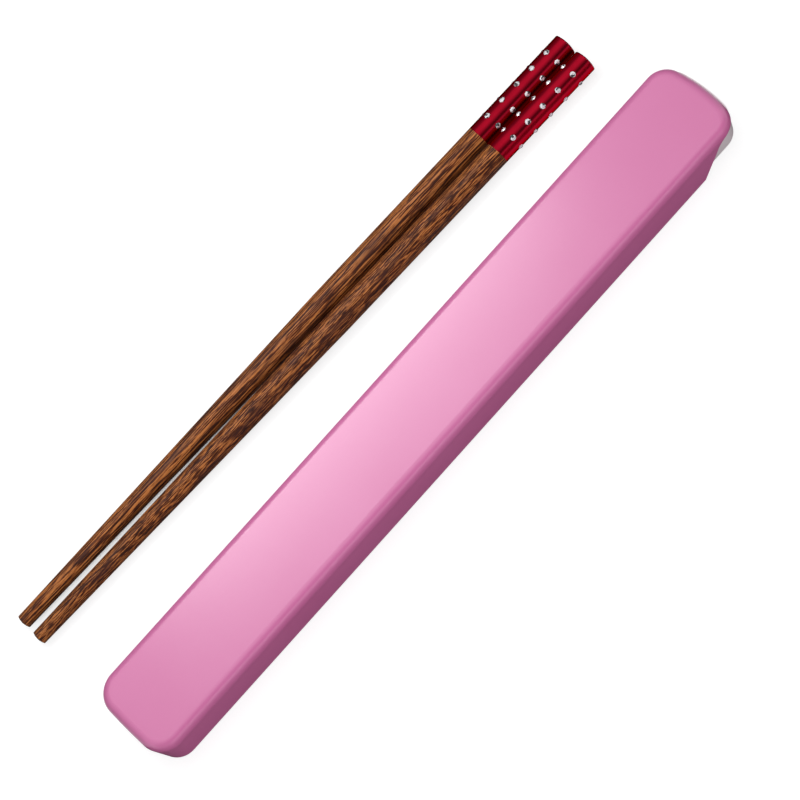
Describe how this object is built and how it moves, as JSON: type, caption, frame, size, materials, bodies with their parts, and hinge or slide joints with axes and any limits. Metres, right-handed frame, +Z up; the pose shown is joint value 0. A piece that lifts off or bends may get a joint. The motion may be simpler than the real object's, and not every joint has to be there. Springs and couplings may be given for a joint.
{
  "type": "portable chopstick case",
  "caption": "Slim rounded travel case whose moulded cover slides off a hollow tray, with its pair of tapered wooden chopsticks lying beside it.",
  "frame": {"origin": "on the table under the middle of the case, on the tray's underside", "axes": "+X along the case to its open end, where the tray shows; -Y the near side of the picture; +Y the side where the chopsticks lie; +Z up"},
  "size_m": [0.2435, 0.0696, 0.0152],
  "materials": {
    "pink_plastic": "semi-gloss moulded, fine scratches",
    "pale_plastic": "smooth moulded",
    "wood": "dark streaky grain under satin lacquer",
    "red_metal": "deep red, anodised and polished",
    "clear_stone": "clear, cut facets"
  },
  "bodies": {
    "tray": {"tray": "pale_plastic"},
    "lid": {"lid": "pink_plastic"},
    "chopstick_a": {"shaft_a": "wood", "sleeve_a": "red_metal", "stone_a_1_1": "clear_stone", "stone_a_1_2": "clear_stone", "stone_a_1_3": "clear_stone", "stone_a_1_4": "clear_stone", "stone_a_1_5": "clear_stone", "stone_a_2_1": "clear_stone", "stone_a_2_2": "clear_stone", "stone_a_2_3": "clear_stone", "stone_a_2_4": "clear_stone", "stone_a_2_5": "clear_stone", "stone_a_3_1": "clear_stone", "stone_a_3_2": "clear_stone", "stone_a_3_3": "clear_stone", "stone_a_3_4": "clear_stone", "stone_a_3_5": "clear_stone", "stone_a_4_1": "clear_stone", "stone_a_4_2": "clear_stone", "stone_a_4_3": "clear_stone", "stone_a_4_4": "clear_stone", "stone_a_4_5": "clear_stone", "stone_a_5_1": "clear_stone", "stone_a_5_2": "clear_stone", "stone_a_5_3": "clear_stone", "stone_a_5_4": "clear_stone", "stone_a_5_5": "clear_stone"},
    "chopstick_b": {"shaft_b": "wood", "sleeve_b": "red_metal", "stone_b_1_1": "clear_stone", "stone_b_1_2": "clear_stone", "stone_b_1_3": "clear_stone", "stone_b_1_4": "clear_stone", "stone_b_1_5": "clear_stone", "stone_b_2_1": "clear_stone", "stone_b_2_2": "clear_stone", "stone_b_2_3": "clear_stone", "stone_b_2_4": "clear_stone", "stone_b_2_5": "clear_stone", "stone_b_3_1": "clear_stone", "stone_b_3_2": "clear_stone", "stone_b_3_3": "clear_stone", "stone_b_3_4": "clear_stone", "stone_b_3_5": "clear_stone", "stone_b_4_1": "clear_stone", "stone_b_4_2": "clear_stone", "stone_b_4_3": "clear_stone", "stone_b_4_4": "clear_stone", "stone_b_4_5": "clear_stone", "stone_b_5_1": "clear_stone", "stone_b_5_2": "clear_stone", "stone_b_5_3": "clear_stone", "stone_b_5_4": "clear_stone", "stone_b_5_5": "clear_stone"}
  },
  "joints": [
    {"name": "lid_slide", "type": "slide", "parent": "tray", "child": "lid", "axis": [-1, 0, 0], "range_m": [0, 0.245]},
    {"name": "chopstick_a_lift", "type": "slide", "parent": "tray", "child": "chopstick_a", "axis": [0, 0, 1], "range_m": [0, 0.1]},
    {"name": "chopstick_b_lift", "type": "slide", "parent": "tray", "child": "chopstick_b", "axis": [0, 0, 1], "range_m": [0, 0.1]}
  ]
}
